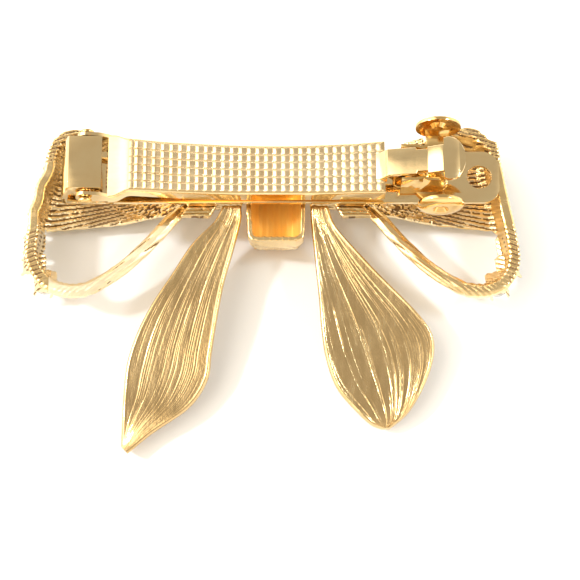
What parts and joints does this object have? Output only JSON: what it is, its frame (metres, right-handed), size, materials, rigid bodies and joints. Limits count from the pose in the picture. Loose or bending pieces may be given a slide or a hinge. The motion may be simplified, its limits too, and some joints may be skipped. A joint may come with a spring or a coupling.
{
  "type": "rhinestone hair clip",
  "caption": "Gold bow barrette with stones on its front and a French clip on its back: hinged embossed arm, spring strip and a clasp with two thumb wings.",
  "frame": {"origin": "centre of the whole object's box, on the surface it lies on", "axes": "+X along the clip from its hinge to its clasp, +Y towards the bow's top edge, +Z out of the back, away from the stones"},
  "size_m": [0.0938, 0.0624, 0.0207],
  "materials": {
    "cast_gold": "brushed plated casting",
    "sheet_gold": "polished plated sheet",
    "spring_gold": "polished plated spring sheet",
    "solder": "matt",
    "rhinestone": "clear, foil backed"
  },
  "bodies": {
    "bow": {"left_loop": "cast_gold", "right_loop": "cast_gold", "left_tail": "cast_gold", "right_tail": "cast_gold", "knot": "cast_gold", "centre_bar": "cast_gold", "left_solder": "solder", "right_solder": "solder", "base_plate": "sheet_gold", "hinge_pin": "spring_gold", "clasp_base": "spring_gold", "clasp_rivet": "spring_gold", "left_loop_stone_01": "rhinestone", "left_loop_stone_02": "rhinestone", "left_loop_stone_03": "rhinestone", "left_loop_stone_04": "rhinestone", "left_loop_stone_05": "rhinestone", "left_loop_stone_06": "rhinestone", "left_loop_stone_07": "rhinestone", "left_loop_stone_08": "rhinestone", "left_loop_stone_09": "rhinestone", "left_loop_stone_10": "rhinestone", "left_loop_stone_11": "rhinestone", "left_loop_stone_12": "rhinestone", "left_loop_stone_13": "rhinestone", "right_loop_stone_01": "rhinestone", "right_loop_stone_02": "rhinestone", "right_loop_stone_03": "rhinestone", "right_loop_stone_04": "rhinestone", "right_loop_stone_05": "rhinestone", "right_loop_stone_06": "rhinestone", "right_loop_stone_07": "rhinestone", "right_loop_stone_08": "rhinestone", "right_loop_stone_09": "rhinestone", "right_loop_stone_10": "rhinestone", "right_loop_stone_11": "rhinestone", "right_loop_stone_12": "rhinestone", "right_loop_stone_13": "rhinestone", "knot_stone_01": "rhinestone", "knot_stone_02": "rhinestone", "knot_stone_03": "rhinestone", "knot_stone_04": "rhinestone", "knot_stone_05": "rhinestone", "knot_stone_06": "rhinestone"},
    "lever": {"arm": "sheet_gold"},
    "spring": {"tension_strip": "spring_gold"},
    "wing_up": {"upper_wing": "spring_gold"},
    "wing_low": {"lower_wing": "spring_gold"}
  },
  "joints": [
    {"name": "arm_hinge", "type": "hinge", "parent": "bow", "child": "lever", "pos_m": [-0.03372, 0.01917, 0.0161], "axis": [0, -1, 0], "range_deg": [0, 85]},
    {"name": "strip_flex", "type": "hinge", "parent": "bow", "child": "spring", "pos_m": [-0.02972, 0.01917, 0.0114], "axis": [0, 1, 0], "range_deg": [0, 1.2], "stiffness_Nm_per_rad": 1},
    {"name": "upper_wing_flex", "type": "hinge", "parent": "bow", "child": "wing_up", "pos_m": [0.02758, 0.02217, 0.0118], "axis": [-1, 0, 0], "range_deg": [0, 6], "stiffness_Nm_per_rad": 0.25},
    {"name": "lower_wing_flex", "type": "hinge", "parent": "bow", "child": "wing_low", "pos_m": [0.02758, 0.01617, 0.0118], "axis": [1, 0, 0], "range_deg": [0, 6], "stiffness_Nm_per_rad": 0.25}
  ]
}
